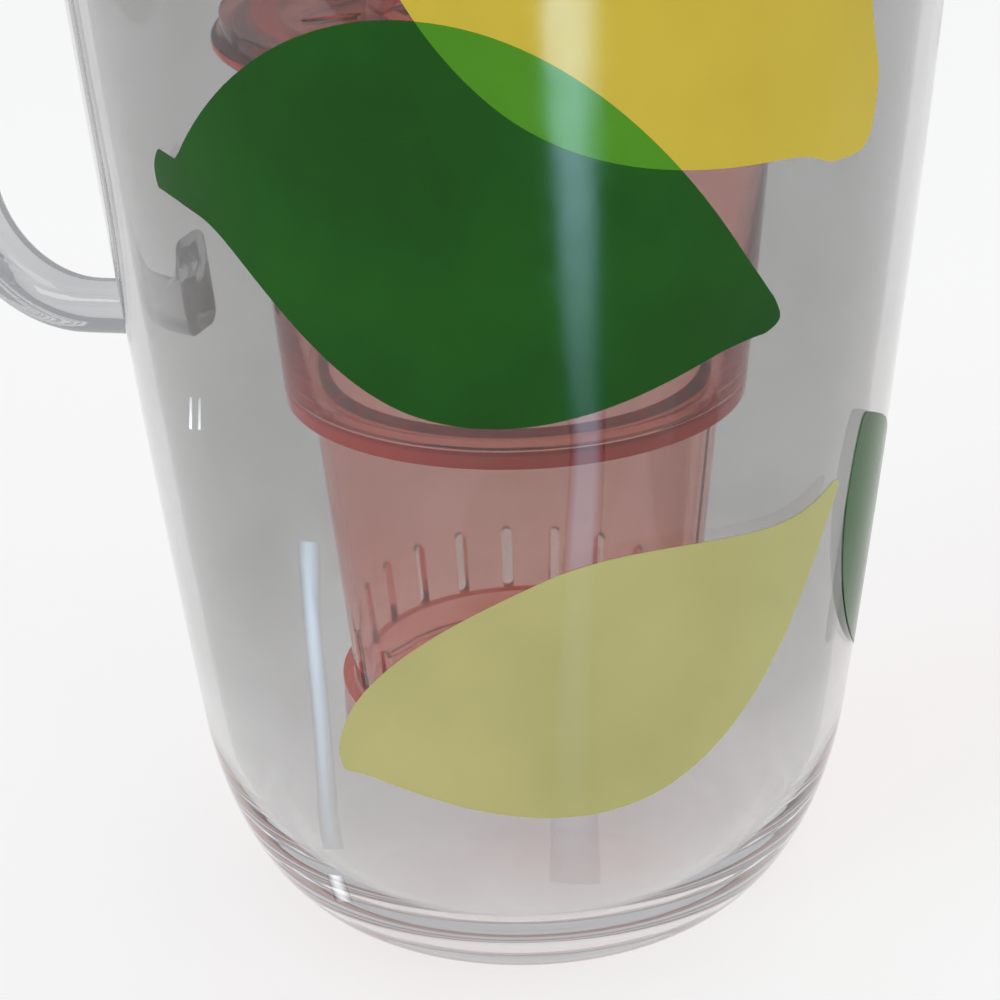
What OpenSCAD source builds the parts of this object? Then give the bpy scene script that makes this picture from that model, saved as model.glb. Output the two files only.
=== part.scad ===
// Fruit infuser pitcher: a clear jug with a bonded loop handle, a press-in lid with a
// hinged pouring flap and a screw filler cap, and a stepped infuser that hangs from the lid.
// Z is up, the origin is the centre of the base, the handle is at -X and the spout at +X.

/* [Jug] */
// Height of the jug to its rim
jug_h = 236; // [215:1:270]
// Outer radius that the side wall would have at the base
base_r = 49.3; // [46:0.1:56]
// Outer radius at the rim
rim_r = 70.5; // [68:0.1:76]
// Swell of the side wall at half height
wall_bow = 2.4; // [0:0.1:4]
// Thickness of the side wall
wall_t = 3; // [2:0.1:4]
// Thickness of the floor
floor_t = 6; // [3:0.5:10]
// Height of the rounded bottom corner
corner_h = 32.5; // [20:0.5:40]
// Width of the rounded bottom corner
corner_w = 14.4; // [8:0.1:20]

/* [Handle] */
// Height on the wall of the lower arm
handle_low_z = 91.5; // [75:0.5:110]
// Height on the wall of the upper arm
handle_top_z = 205; // [180:1:212]
// Finger space between the wall and the grip
handle_reach = 34; // [28:0.5:42]
// Inside radius of the two bends
handle_bend_r = 17.5; // [10:0.5:25]
// Thickness of the bar in the plane of the loop
handle_t = 7.5; // [6:0.5:10]
// Width of the bar across the loop
handle_w = 11; // [9:0.5:16]
// Rounding of the bar's long edges
handle_edge_r = 2.6; // [1:0.1:3.5]
// Radius of the web where each arm meets the wall
handle_web_r = 9; // [4:0.5:12]

/* [Lid] */
// Thickness of the lid's plate
lid_t = 3; // [2:0.1:4]
// How far the lid reaches past the rim
lid_over = 2.6; // [2.4:0.1:5]
// Depth of the lip that hangs round the rim
lid_lip_h = 6; // [3:0.5:9]
// Thickness of that lip
lid_lip_t = 1.9; // [1.2:0.1:2.1]
// Rounding of the lid's upper edge
lid_edge_r = 1.8; // [0.5:0.1:2]
// Depth of the plug that enters the jug
plug_h = 18; // [15:0.5:24]
// Thickness of the plug's wall
plug_t = 2.4; // [2:0.1:3]
// Space between the plug and the jug
plug_gap = 2; // [1.2:0.1:3]
// Depth of the gasket below the rim
gasket_drop = 6; // [4:0.5:8]
// Height of the gasket
gasket_h = 6; // [4:0.5:7]
// Depth of the groove that holds the gasket
gasket_groove = 0.9; // [0.6:0.1:1.2]
// Thickness of each sealing fin
gasket_fin_t = 1.1; // [0.8:0.1:1.5]

/* [Spout] */
// Half of the channel's width
spout_half_w = 15; // [13:0.5:17]
// Half of the channel's width at its tip
spout_tip_half_w = 5.5; // [4:0.5:8]
// How far the beak reaches past the lid
spout_reach = 11; // [6:0.5:16]
// Height of the channel's walls above the plate
spout_h = 8; // [6:0.5:12]
// Thickness of the channel's walls
spout_t = 2; // [1.5:0.1:2.5]
// Length of the pouring hole, across the rim
hole_len = 9.4; // [8:0.1:10]
// Margin between the channel's walls and the pouring hole
hole_margin = 2; // [2:0.1:2.5]
// Corner radius of the pouring hole
hole_corner_r = 3; // [1:0.5:5]

/* [Flap] */
// Thickness of the flap
flap_t = 2.4; // [1.8:0.1:3]
// How far the flap reaches past the channel's walls
flap_over = 0.8; // [0:0.1:1.5]
// Radius of the thumb tab at the flap's tip
flap_tab_r = 7.5; // [6:0.5:10]
// Radius of the hinge pin
pin_r = 1.5; // [1.2:0.1:1.8]
// Outer radius of the hinge ears and knuckle
ear_r = 3.1; // [2.8:0.1:3.4]
// Thickness of each hinge ear
ear_t = 3; // [2:0.5:4]
// Width of the flap's hinge knuckle
knuckle_w = 17; // [12:0.5:20]
// Distance from the back of the channel to the hinge axis
hinge_back = 5.8; // [5.6:0.1:7]
// Height of the soft stopper pad
stopper_t = 2.5; // [1.5:0.1:3.5]
// How far the pad reaches past the pouring hole
stopper_over = 1.2; // [0.8:0.1:1.6]

/* [Filler cap] */
// Outer radius of the threaded neck on the lid
neck_r = 22.6; // [22.4:0.1:24]
// Height of the neck above the plate
neck_h = 9; // [6:0.5:12]
// Thickness of the cap's skirt
cap_t = 2.2; // [1.6:0.1:3]
// Thickness of the cap's top
cap_top_t = 2.6; // [2:0.1:4]
// Radius of the grip ribs round the cap
cap_rib_r = 1.1; // [0.6:0.1:1.5]
// Number of grip ribs
cap_ribs = 24; // [12:1:30]
// Height of the finger bar on the cap
bar_h = 7; // [4:0.5:10]
// Thickness of the finger bar
bar_t = 5; // [4:0.5:8]
// Thickness of the flat seal under the cap
cap_seal_t = 1.6; // [1:0.1:2.5]

/* [Infuser] */
// Free height between the jug's floor and the infuser
infuser_clear = 20; // [12:0.5:30]
// Height of the lower basket, from its base to the ledge
basket_h = 60.4; // [50:0.1:70]
// Outer radius of the basket under the ledge
basket_r = 32.4; // [31:0.1:33]
// Outer radius of the basket at its lower end
basket_low_r = 28; // [26:0.1:30]
// Height of the cup, from the ledge to the top of its rim
cup_h = 58.6; // [50:0.1:64]
// Outer radius of the cup at the ledge
ledge_r = 36.6; // [36:0.1:38]
// Thickness of the ledge
ledge_t = 2.2; // [1.6:0.1:3]
// Outer radius of the cup's neck
cup_neck_r = 40.5; // [40:0.1:42]
// Height of the cup's straight neck
cup_neck_h = 12; // [9:0.5:16]
// How far the cup's rim stands out from its neck
cup_rim_w = 3.9; // [2.5:0.1:5]
// Thickness of the cup's rim
cup_rim_t = 2.4; // [1.6:0.1:3]
// Wall thickness of the infuser
infuser_t = 1.8; // [1.5:0.1:2.2]
// Outer radius of the stem
stem_r = 21; // [20.5:0.1:21.5]
// Wall thickness of the stem
stem_t = 2; // [1.8:0.1:2.4]
// Thickness of the stem's strainer disc
disc_t = 2.4; // [1.8:0.1:3]
// Depth of the lid's collar round the stem
collar_h = 16; // [14:0.5:20]
// Wall thickness of the collars
collar_t = 2.3; // [2:0.1:3]
// Width of every strainer slot
slot_w = 2; // [1.5:0.1:2.4]
// Length of the basket's slots
slot_len = 11; // [8:0.5:30]
// Number of slots round the basket
basket_slots = 20; // [8:1:20]
// Number of slots in the strainer disc
disc_slots = 12; // [8:1:16]
// Height of the basket's base cap
base_cap_h = 10; // [8:0.5:14]
// Thickness of the base cap's floor
base_cap_t = 2; // [1.5:0.1:3]
// Radius of the drain holes
drain_r = 1.6; // [1:0.1:1.9]

/* [Fits] */
// Clearance between pieces that move past each other
free_gap = 0.3; // [0.2:0.05:0.4]
// Radial clearance of the hinge pin in the flap
pin_fit = 0.06; // [0.02:0.01:0.1]
// Clearance round seals and pressed-in pieces
seat_gap = 0.05; // [0.01:0.01:0.1]
// Section radius of the snap beads
bead_r = 0.7; // [0.5:0.05:0.8]
// Section radius of the stem's sealing ring
oring_r = 1; // [0.8:0.1:1.2]

/* [Hidden] */
$fn = 96;

// Overrun of every cut past the face that it leaves
cut = 1;
// Steps of the curved outlines
corner_steps = 10;
wall_steps = 12;
beak_steps = 10;
arc_steps = 6;
// Part of the half circle of the jug's rim that is left off at each wall
rim_skip = 15;

clear_plastic = [0.80, 0.84, 0.85, 0.45];
coral_plastic = [0.88, 0.42, 0.36, 0.75];
pale_silicone = [0.93, 0.91, 0.88];

// Wall radius at a height, and the jug's inner radius there
function wall_r(z) = base_r + (rim_r - base_r)*z/jug_h + 4*wall_bow*(z/jug_h)*(1 - z/jug_h);
function inner_r(z) = wall_r(z) - wall_t;

// Points of an arc about (cx, cy)
function arc(cx, cy, r, from, to, steps) =
    [for (i = [0:steps]) let (a = from + (to - from)*i/steps) [cx + r*cos(a), cy + r*sin(a)]];

// Side of the jug with an elliptical bottom corner, set in by a wall and up by a floor
function side(inset, floor_z) = let (h = corner_h - floor_z) concat(
    [for (i = [0:corner_steps]) let (a = 90*i/corner_steps, z = floor_z + h*(1 - cos(a)))
        [wall_r(z) - inset - corner_w*(1 - sin(a)), z]],
    [for (i = [1:wall_steps]) let (z = corner_h + (jug_h - wall_t/2 - corner_h)*i/wall_steps)
        [wall_r(z) - inset, z]]);

// Heights of the infuser, built up from the floor
basket_z = floor_t + infuser_clear;
ledge_z = basket_z + basket_h;
cup_top_z = ledge_z + cup_h;
neck_z = cup_top_z - cup_neck_h;
disc_z = cup_top_z + free_gap;

// Heights and radii of the lid
lid_z = jug_h + free_gap/2;
plate_z = lid_z + lid_t;
lid_r = rim_r + lid_over;
plug_r = inner_r(jug_h - plug_h) - plug_gap;
gasket_z = jug_h - gasket_drop - gasket_h;
gasket_r = inner_r(gasket_z) - free_gap;
stem_bore_r = stem_r - stem_t;
collar_in_r = stem_r + free_gap;

// Pouring hole just inside the plug, with the channel round it and the hinge behind it
hole_half_w = spout_half_w - hole_margin;
hole_x1 = sqrt(pow(plug_r - plug_t, 2) - pow(hole_half_w, 2)) - hole_margin;
hole_x0 = hole_x1 - hole_len;
spout_back = hole_x0 - hole_margin;
spout_tip = lid_r + spout_reach;
beak_share = 0.5;
spout_turn = spout_back + (spout_tip - spout_back)*beak_share;
channel_top_z = plate_z + spout_h;
hinge_x = spout_back - hinge_back;
flap_z = channel_top_z + free_gap;
hinge_z = flap_z + flap_t/2;
ear_y = knuckle_w/2 + free_gap;

// Snap bead and sealing ring in the lid's collar
lid_bead_share = 0.25;
stem_seal_share = 0.65;
oring_out_share = 0.6;
lid_bead_z = jug_h - collar_h*lid_bead_share;
stem_seal_z = jug_h - collar_h*stem_seal_share;

// Filler cap
rib_sink_share = 1/3;
cap_in_r = neck_r + free_gap;
cap_r = cap_in_r + cap_t;
neck_top_z = plate_z + neck_h;
cap_seal_z = neck_top_z + free_gap/2;
cap_top_z = cap_seal_z + cap_seal_t + seat_gap;

// Infuser fits: the stem's socket enters the cup's neck and keeps the basket's rim below it
socket_h_share = 0.75;
cup_bead_share = 0.6;
disc_rim_share = 0.6;
disc_slot_share = 0.7;
cup_in_r = ledge_r - infuser_t;
neck_in_r = cup_neck_r - infuser_t;
basket_rim_r = cup_in_r - free_gap;
socket_r = neck_in_r - free_gap;
socket_in_r = basket_rim_r - free_gap;
socket_h = cup_neck_h*socket_h_share;
cup_bead_z = cup_top_z - socket_h*cup_bead_share;
base_cap_in_r = basket_low_r + free_gap;
base_bead_z = basket_z + base_cap_h/2;

// Drain holes of the base cap: one in the middle and two rings
drain_ring_shares = [0.5, 0.78];
drain_counts = [6, 12];

// A ring of square section about the Z axis
module ring(r_in, r_out, z0, z1) {
    rotate_extrude() translate([r_in, z0]) square([r_out - r_in, z1 - z0]);
}

// A round bead about the Z axis
module bead(r, z, size) {
    rotate_extrude() translate([r, z]) circle(size);
}

// A slot along X with round ends, centred on its length and width
module slot_along_x(length, width, height) {
    straight = length - width;
    translate([-straight/2, -width/2, 0]) cube([straight, width, height]);
    for (s = [-1, 1]) translate([s*straight/2, 0, 0]) cylinder(d = width, h = height);
}

// Rounded rectangle from its corner points
module round_box(x0, x1, half_w, r, height) {
    linear_extrude(height) polygon(concat(
        arc(x1 - r, half_w - r, r, 0, 90, arc_steps), arc(x0 + r, half_w - r, r, 90, 180, arc_steps),
        arc(x0 + r, r - half_w, r, 180, 270, arc_steps), arc(x1 - r, r - half_w, r, 270, 360, arc_steps)));
}

// The jug

module jug_outside() {
    rotate_extrude() polygon(concat([[0, 0]], side(0, 0), [[0, jug_h - wall_t/2]]));
}

module jug_body() {
    rim_z = jug_h - wall_t/2;
    inside = side(wall_t, floor_t);
    color(clear_plastic) rotate_extrude() polygon(concat(
        [[0, 0]], side(0, 0),
        arc(wall_r(rim_z) - wall_t/2, rim_z, wall_t/2, rim_skip, 180 - rim_skip, arc_steps),
        [for (i = [len(inside) - 1:-1:0]) inside[i]],
        [[0, floor_t]]));
}

module bar_section() {
    t = handle_t/2 - handle_edge_r;
    w = handle_w/2 - handle_edge_r;
    square([handle_t, 2*w], center = true);
    square([2*t, handle_w], center = true);
    for (x = [-t, t], y = [-w, w]) translate([x, y]) circle(handle_edge_r);
}

module handle_arm() {
    length = handle_reach - handle_bend_r;
    translate([handle_t, 0, 0]) rotate([0, -90, 0]) linear_extrude(length + handle_t) bar_section();
}

module handle_bend(from) {
    rotate([90, 0, 0]) rotate([0, 0, from]) rotate_extrude(angle = 90)
        translate([handle_bend_r + handle_t/2, 0]) bar_section();
}

// Concave web on the inner side of an arm's root
module handle_web() {
    width = handle_w - 2*handle_edge_r;
    translate([0, width/2, 0]) rotate([90, 0, 0]) linear_extrude(width) difference() {
        translate([-handle_web_r, 0]) square([handle_web_r + handle_t, handle_t/2 + handle_web_r]);
        translate([-handle_web_r, handle_t/2 + handle_web_r]) circle(handle_web_r);
    }
}

module handle() {
    rise = handle_top_z - handle_low_z;
    lean = wall_r(handle_top_z) - wall_r(handle_low_z);
    span = sqrt(rise*rise + lean*lean);
    bend_x = handle_bend_r - handle_reach;
    bend_z = handle_t/2 + handle_bend_r;
    color(clear_plastic) difference() {
        translate([-wall_r(handle_low_z), 0, handle_low_z]) rotate([0, -atan2(lean, rise), 0]) {
            handle_arm();
            handle_web();
            translate([0, 0, span]) {
                handle_arm();
                mirror([0, 0, 1]) handle_web();
            }
            translate([bend_x, 0, bend_z]) handle_bend(180);
            translate([bend_x, 0, span - bend_z]) handle_bend(90);
            translate([-handle_reach - handle_t/2, 0, bend_z])
                linear_extrude(span - 2*bend_z) bar_section();
        }
        jug_outside();
    }
}

// The lid

// Half of the channel's outline, grown by g, from the back to the tip
function half_outline(g) = let (r = hole_corner_r + g) concat(
    arc(spout_back - g + r, spout_half_w + g - r, r, 180, 90, arc_steps),
    [for (i = [0:beak_steps]) let (s = i/beak_steps)
        [spout_turn + (spout_tip + g - spout_turn)*s,
        g + spout_tip_half_w + (spout_half_w - spout_tip_half_w)*(1 + cos(180*s))/2]]);

function flipped(points) = [for (i = [len(points) - 1:-1:0]) [points[i][0], -points[i][1]]];

module channel(g, height) {
    half = half_outline(g);
    linear_extrude(height) polygon(concat(half, flipped(half)));
}

module pour_hole() {
    translate([0, 0, lid_z - cut])
        round_box(hole_x0, hole_x1, hole_half_w, hole_corner_r, lid_t + 2*cut);
}

module hinge_ear() {
    translate([hinge_x, 0, hinge_z]) rotate([-90, 0, 0]) cylinder(r = ear_r, h = ear_t);
    translate([hinge_x - ear_r, 0, lid_z + lid_t/2]) cube([2*ear_r, ear_t, hinge_z - lid_z - lid_t/2]);
}

module lid_disc() {
    rotate_extrude() polygon(concat(
        [[0, lid_z], [lid_r, lid_z]],
        arc(lid_r - lid_edge_r, plate_z - lid_edge_r, lid_edge_r, 0, 90, arc_steps),
        [[0, plate_z]]));
}

module lid() {
    color(coral_plastic) difference() {
        union() {
            lid_disc();
            ring(lid_r - lid_lip_t, lid_r, jug_h - lid_lip_h, lid_z + lid_t/2);
            ring(plug_r - plug_t, plug_r, jug_h - plug_h, lid_z + lid_t/2);
            ring(collar_in_r, collar_in_r + collar_t, jug_h - collar_h, lid_z + lid_t/2);
            ring(stem_bore_r, neck_r, plate_z - lid_t/2, neck_top_z);
            translate([0, 0, lid_z]) channel(spout_t, lid_t);
            difference() {
                translate([0, 0, plate_z - lid_t/2]) channel(spout_t, spout_h + lid_t/2);
                translate([0, 0, plate_z]) channel(0, spout_h + cut);
                translate([spout_tip - cut, -spout_tip_half_w, plate_z])
                    cube([spout_t + 2*cut, 2*spout_tip_half_w, spout_h + cut]);
            }
            translate([0, ear_y, 0]) hinge_ear();
            translate([0, -ear_y - ear_t, 0]) hinge_ear();
        }
        translate([0, 0, lid_z - cut]) cylinder(r = stem_bore_r, h = lid_t + neck_h + 2*cut);
        ring(plug_r - gasket_groove, plug_r + cut, gasket_z, gasket_z + gasket_h);
        bead(stem_r, lid_bead_z, bead_r + free_gap);
        pour_hole();
        translate([hinge_x, -ear_y - ear_t - cut, hinge_z]) rotate([-90, 0, 0])
            cylinder(r = pin_r + seat_gap/2, h = 2*(ear_y + ear_t + cut));
    }
}

module lid_gasket() {
    in_r = plug_r - gasket_groove + seat_gap;
    web_r = plug_r + gasket_fin_t/2;
    z0 = gasket_z + seat_gap;
    z1 = gasket_z + gasket_h - seat_gap;
    color(pale_silicone) rotate_extrude() polygon([
        [in_r, z0], [web_r, z0], [gasket_r, z0 + gasket_fin_t/2], [gasket_r, z0 + gasket_fin_t],
        [web_r, z0 + 2*gasket_fin_t], [web_r, z1 - 2*gasket_fin_t],
        [gasket_r, z1 - gasket_fin_t], [gasket_r, z1 - gasket_fin_t/2], [web_r, z1], [in_r, z1]]);
}

// The pouring flap

// Block that covers the pouring hole and reaches past it on every side
module stopper_box(over, r, height) {
    round_box(hole_x0 - over, hole_x1 + over, hole_half_w + over, r, height);
}

module pour_flap() {
    post_z = plate_z + free_gap + stopper_t;
    post_h = flap_z - post_z;
    over = stopper_over - spout_t/2;
    color(coral_plastic) difference() {
        union() {
            translate([0, 0, flap_z]) intersection() {
                channel(spout_t + flap_over, flap_t);
                translate([hinge_x + ear_r + free_gap, -lid_r, 0]) cube([lid_r, 2*lid_r, flap_t]);
            }
            translate([spout_tip, 0, flap_z]) cylinder(r = flap_tab_r, h = flap_t);
            translate([hinge_x, -knuckle_w/2, hinge_z]) rotate([-90, 0, 0])
                cylinder(r = ear_r - free_gap, h = knuckle_w);
            translate([hinge_x, -knuckle_w/2, flap_z])
                cube([hinge_back + spout_t, knuckle_w, flap_t]);
            translate([0, 0, post_z])
                stopper_box(over, hole_corner_r, post_h + flap_t/2);
        }
        translate([0, 0, post_z - cut])
            stopper_box(-spout_t, hole_corner_r/2, post_h + cut);
        translate([hinge_x, -knuckle_w/2 - cut, hinge_z]) rotate([-90, 0, 0])
            cylinder(r = pin_r + pin_fit, h = knuckle_w + 2*cut);
    }
}

module flap_seal() {
    color(pale_silicone) translate([0, 0, plate_z + free_gap])
        stopper_box(stopper_over, hole_corner_r + stopper_over, stopper_t - seat_gap);
}

module flap_pin() {
    length = 2*(ear_y + ear_t);
    color(coral_plastic) translate([hinge_x, -length/2, hinge_z]) rotate([-90, 0, 0])
        cylinder(r = pin_r, h = length);
}

// The filler cap

module filler_cap() {
    skirt_z = plate_z + free_gap;
    rib_h = cap_top_z + cap_top_t/2 - skirt_z;
    color(coral_plastic) {
        ring(cap_in_r, cap_r, skirt_z, cap_top_z + cap_top_t);
        translate([0, 0, cap_top_z]) cylinder(r = cap_in_r + cap_t/2, h = cap_top_t);
        for (i = [0:cap_ribs - 1]) rotate([0, 0, 360*i/cap_ribs])
            translate([cap_r - cap_rib_r*rib_sink_share, 0, skirt_z]) cylinder(r = cap_rib_r, h = rib_h);
        translate([0, 0, cap_top_z + cap_top_t/2])
            slot_along_x(2*(cap_in_r - cap_t), bar_t, bar_h + cap_top_t/2);
    }
}

module cap_seal() {
    color(pale_silicone)
        ring(stem_bore_r + free_gap, cap_in_r - free_gap, cap_seal_z, cap_seal_z + cap_seal_t);
}

// The infuser

module infuser_stem() {
    disc_r = cup_neck_r + cup_rim_w*disc_rim_share;
    slot_mid_r = (stem_r + socket_in_r)/2;
    slot_length = (socket_in_r - stem_r)*disc_slot_share;
    color(coral_plastic) difference() {
        union() {
            ring(stem_bore_r, stem_r, disc_z, lid_z - free_gap);
            translate([0, 0, disc_z]) cylinder(r = disc_r, h = disc_t);
            ring(socket_in_r, socket_r, cup_top_z - socket_h, disc_z + disc_t/2);
            bead(socket_r, cup_bead_z, bead_r);
            bead(stem_r, lid_bead_z, bead_r);
        }
        translate([0, 0, disc_z - cut]) cylinder(r = stem_bore_r, h = disc_t + 2*cut);
        bead(stem_r, stem_seal_z, oring_r + seat_gap);
        for (i = [0:disc_slots - 1]) rotate([0, 0, 360*(i + 0.5)/disc_slots])
            translate([slot_mid_r, 0, disc_z - cut]) slot_along_x(slot_length, slot_w, disc_t + 2*cut);
    }
}

module stem_seal() {
    out_r = stem_r + free_gap*oring_out_share;
    color(pale_silicone) intersection() {
        bead(stem_r, stem_seal_z, oring_r);
        ring(0, out_r, stem_seal_z - oring_r, stem_seal_z + oring_r);
    }
}

module infuser_cup() {
    rim_r = cup_rim_t/2;
    color(coral_plastic) difference() {
        rotate_extrude() polygon(concat(
            [[basket_r + free_gap, ledge_z], [ledge_r, ledge_z], [cup_neck_r, neck_z],
                [cup_neck_r, cup_top_z - cup_rim_t]],
            arc(cup_neck_r + cup_rim_w - rim_r, cup_top_z - rim_r, rim_r, -90, 90, arc_steps),
            [[neck_in_r, cup_top_z], [neck_in_r, neck_z], [cup_in_r, ledge_z + ledge_t],
                [basket_r + free_gap, ledge_z + ledge_t]]));
        bead(socket_r, cup_bead_z, bead_r + free_gap);
    }
}

module infuser_basket() {
    rest_z = ledge_z + ledge_t + free_gap/2;
    low_z = basket_z + base_cap_t + free_gap;
    straight_z = basket_z + base_cap_h + free_gap;
    slot_z = straight_z + slot_w/2;
    color(coral_plastic) difference() {
        rotate_extrude() polygon([
            [basket_low_r - infuser_t, low_z], [basket_low_r, low_z], [basket_low_r, straight_z],
            [basket_r, ledge_z - ledge_t], [basket_r, rest_z], [basket_rim_r, rest_z],
            [basket_rim_r, rest_z + infuser_t], [basket_r - infuser_t, rest_z + infuser_t],
            [basket_r - infuser_t, ledge_z - ledge_t], [basket_low_r - infuser_t, straight_z]]);
        for (i = [0:basket_slots - 1]) rotate([0, 0, 360*(i + 0.5)/basket_slots])
            translate([basket_low_r - 2*infuser_t, 0, slot_z + slot_len/2])
                rotate([0, 90, 0]) slot_along_x(slot_len, slot_w, 5*infuser_t);
        bead(basket_low_r, base_bead_z, bead_r);
    }
}

module drain_hole() {
    translate([0, 0, basket_z - cut]) cylinder(r = drain_r, h = base_cap_t + 2*cut);
}

module basket_base() {
    color(coral_plastic) {
        difference() {
            union() {
                ring(base_cap_in_r, base_cap_in_r + infuser_t, basket_z, basket_z + base_cap_h);
                translate([0, 0, basket_z]) cylinder(r = base_cap_in_r + infuser_t/2, h = base_cap_t);
            }
            drain_hole();
            for (k = [0:1], i = [0:drain_counts[k] - 1]) rotate([0, 0, 360*(i + k/2)/drain_counts[k]])
                translate([basket_low_r*drain_ring_shares[k], 0, 0]) drain_hole();
        }
        bead(base_cap_in_r, base_bead_z, bead_r - free_gap);
    }
}

jug_body();
handle();
lid();
lid_gasket();
pour_flap();
flap_seal();
flap_pin();
filler_cap();
cap_seal();
infuser_stem();
stem_seal();
infuser_cup();
infuser_basket();
basket_base();
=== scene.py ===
"""Looks of the fruit infuser pitcher, built round its CAD frame.

Metres, Z up, the origin is the centre of the base, the handle is at -X and the spout at +X.
Names that end in _MM hold millimetres, and MM turns them into metres.
"""
import math
from collections import namedtuple

import bmesh
import bpy
from mathutils import Matrix, Vector
from mathutils.geometry import delaunay_2d_cdt


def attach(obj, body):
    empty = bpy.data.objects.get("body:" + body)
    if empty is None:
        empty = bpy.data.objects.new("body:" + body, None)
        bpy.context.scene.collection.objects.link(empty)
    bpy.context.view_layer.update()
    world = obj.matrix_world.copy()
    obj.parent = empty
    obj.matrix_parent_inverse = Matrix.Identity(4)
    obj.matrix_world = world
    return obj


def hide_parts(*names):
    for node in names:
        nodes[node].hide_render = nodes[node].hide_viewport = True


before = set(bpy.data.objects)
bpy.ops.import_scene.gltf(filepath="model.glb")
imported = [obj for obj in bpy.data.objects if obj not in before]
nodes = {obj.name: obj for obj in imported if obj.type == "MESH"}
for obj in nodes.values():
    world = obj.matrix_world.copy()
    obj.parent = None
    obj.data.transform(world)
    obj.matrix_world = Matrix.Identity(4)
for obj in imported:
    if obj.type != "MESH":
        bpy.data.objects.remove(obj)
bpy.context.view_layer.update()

MM = 0.001
# Faces that meet at more than this angle are shaded apart
SHARP = math.radians(40)

# The jug's form, as in the part
JUG_H_MM = 236.0
BASE_R_MM = 49.3
RIM_R_MM = 70.5
BOW_MM = 2.4
WALL_MM = 3.0
FLOOR_MM = 6.0
CORNER_H_MM = 32.5
CORNER_W_MM = 14.4

# The infuser's cup, as in the part
CUP_LEDGE_Z_MM = 86.4
CUP_TOP_Z_MM = 145.0
LEDGE_R_MM = 36.6
LEDGE_T_MM = 2.2
LEDGE_IN_R_MM = 32.7
CUP_NECK_R_MM = 40.5
CUP_NECK_H_MM = 12.0
CUP_RIM_W_MM = 3.9
CUP_RIM_T_MM = 2.4
INFUSER_T_MM = 1.8


def wall_r(z):
    """Outer radius of the jug's side wall at a height."""
    share = z/JUG_H_MM
    return BASE_R_MM + (RIM_R_MM - BASE_R_MM)*share + 4*BOW_MM*share*(1 - share)


# Meshes

def add_mesh(name, points_mm, faces, materials, owners=None):
    """A new object from points in millimetres; owners gives each face its material."""
    mesh = bpy.data.meshes.new(name)
    mesh.from_pydata([Vector(p)*MM for p in points_mm], [], faces)
    for m in materials:
        mesh.materials.append(m)
    mesh.polygons.foreach_set("use_smooth", [True]*len(mesh.polygons))
    if owners:
        mesh.polygons.foreach_set("material_index", owners)
    mesh.validate()
    obj = bpy.data.objects.new(name, mesh)
    bpy.context.scene.collection.objects.link(obj)
    return obj


def lathe(name, profile, steps, material):
    """A closed solid about the Z axis. The profile runs as (radius, height), outside first."""
    points, rows, faces = [], [], []
    for r, z in profile:
        if r == 0:
            rows.append([len(points)])
            points.append((0, 0, z))
            continue
        rows.append(list(range(len(points), len(points) + steps)))
        turn = 2*math.pi/steps
        points += [(r*math.cos(turn*k), r*math.sin(turn*k), z) for k in range(steps)]
    closed = len(rows[0]) > 1
    pairs = list(zip(rows, rows[1:] + rows[:1])) if closed else list(zip(rows, rows[1:]))
    for low, high in pairs:
        for k in range(steps):
            n = (k + 1) % steps
            if len(low) == 1:
                faces.append((low[0], high[n], high[k]))
            elif len(high) == 1:
                faces.append((low[k], low[n], high[0]))
            else:
                faces.append((low[k], low[n], high[n], high[k]))
    return add_mesh(name, points, faces, [material])


FILLET_STEPS = 4
# The most of a side's length that the fillet at one of its ends takes
FILLET_SHARE = 0.48


def rounded(corners):
    """A profile with each corner (r, z, fillet) rounded by an arc of that radius."""
    out = []
    count = len(corners)
    for i, (r, z, fillet) in enumerate(corners):
        here = Vector((r, z))
        if fillet <= 0:
            out.append((r, z))
            continue
        back = Vector(corners[i - 1][:2]) - here
        on = Vector(corners[(i + 1) % count][:2]) - here
        angle = back.angle(on)
        room = FILLET_SHARE*min(back.length, on.length)
        set_off = min(fillet/math.tan(angle/2), room)
        radius = set_off*math.tan(angle/2)
        middle = here + (back.normalized() + on.normalized()).normalized()*radius/math.sin(angle/2)
        first = here + back.normalized()*set_off - middle
        last = here + on.normalized()*set_off - middle
        turn = first.angle_signed(last)
        for k in range(FILLET_STEPS + 1):
            a = -turn*k/FILLET_STEPS
            c, s = math.cos(a), math.sin(a)
            out.append((middle.x + c*first.x - s*first.y, middle.y + s*first.x + c*first.y))
    return out


def tidy_mesh(obj):
    """Takes away the points that no face uses, and keeps the shading apart at sharp edges."""
    bm = bmesh.new()
    bm.from_mesh(obj.data)
    loose = [v for v in bm.verts if not v.link_faces]
    bmesh.ops.delete(bm, geom=loose, context="VERTS")
    for edge in bm.edges:
        edge.smooth = edge.calc_face_angle(0) < SHARP
    bm.to_mesh(obj.data)
    bm.free()
    return obj


def outward(obj):
    """Turns every face of a closed mesh outwards, and keeps the shading apart at sharp edges."""
    bm = bmesh.new()
    bm.from_mesh(obj.data)
    bmesh.ops.recalc_face_normals(bm, faces=bm.faces)
    bm.to_mesh(obj.data)
    bm.free()
    return tidy_mesh(obj)


# Materials

PLASTIC_IOR = 1.5
# Noise mostly keeps between these values, and a colour ramp changes between these
NOISE_RANGE = (0.3, 0.7)
RAMP_RANGE = (0.35, 0.65)

# Fine unevenness of a surface: how many waves per metre, their height in metres, and strength
Bump = namedtuple("Bump", "scale height strength")
CLEAR_BUMP = Bump(scale=18, height=0.0006, strength=0.2)
CORAL_BUMP = Bump(scale=25, height=0.0005, strength=0.2)
RUBBER_BUMP = Bump(scale=700, height=0.00003, strength=0.3)
INK_BUMP = Bump(scale=900, height=0.00002, strength=0.25)

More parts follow.
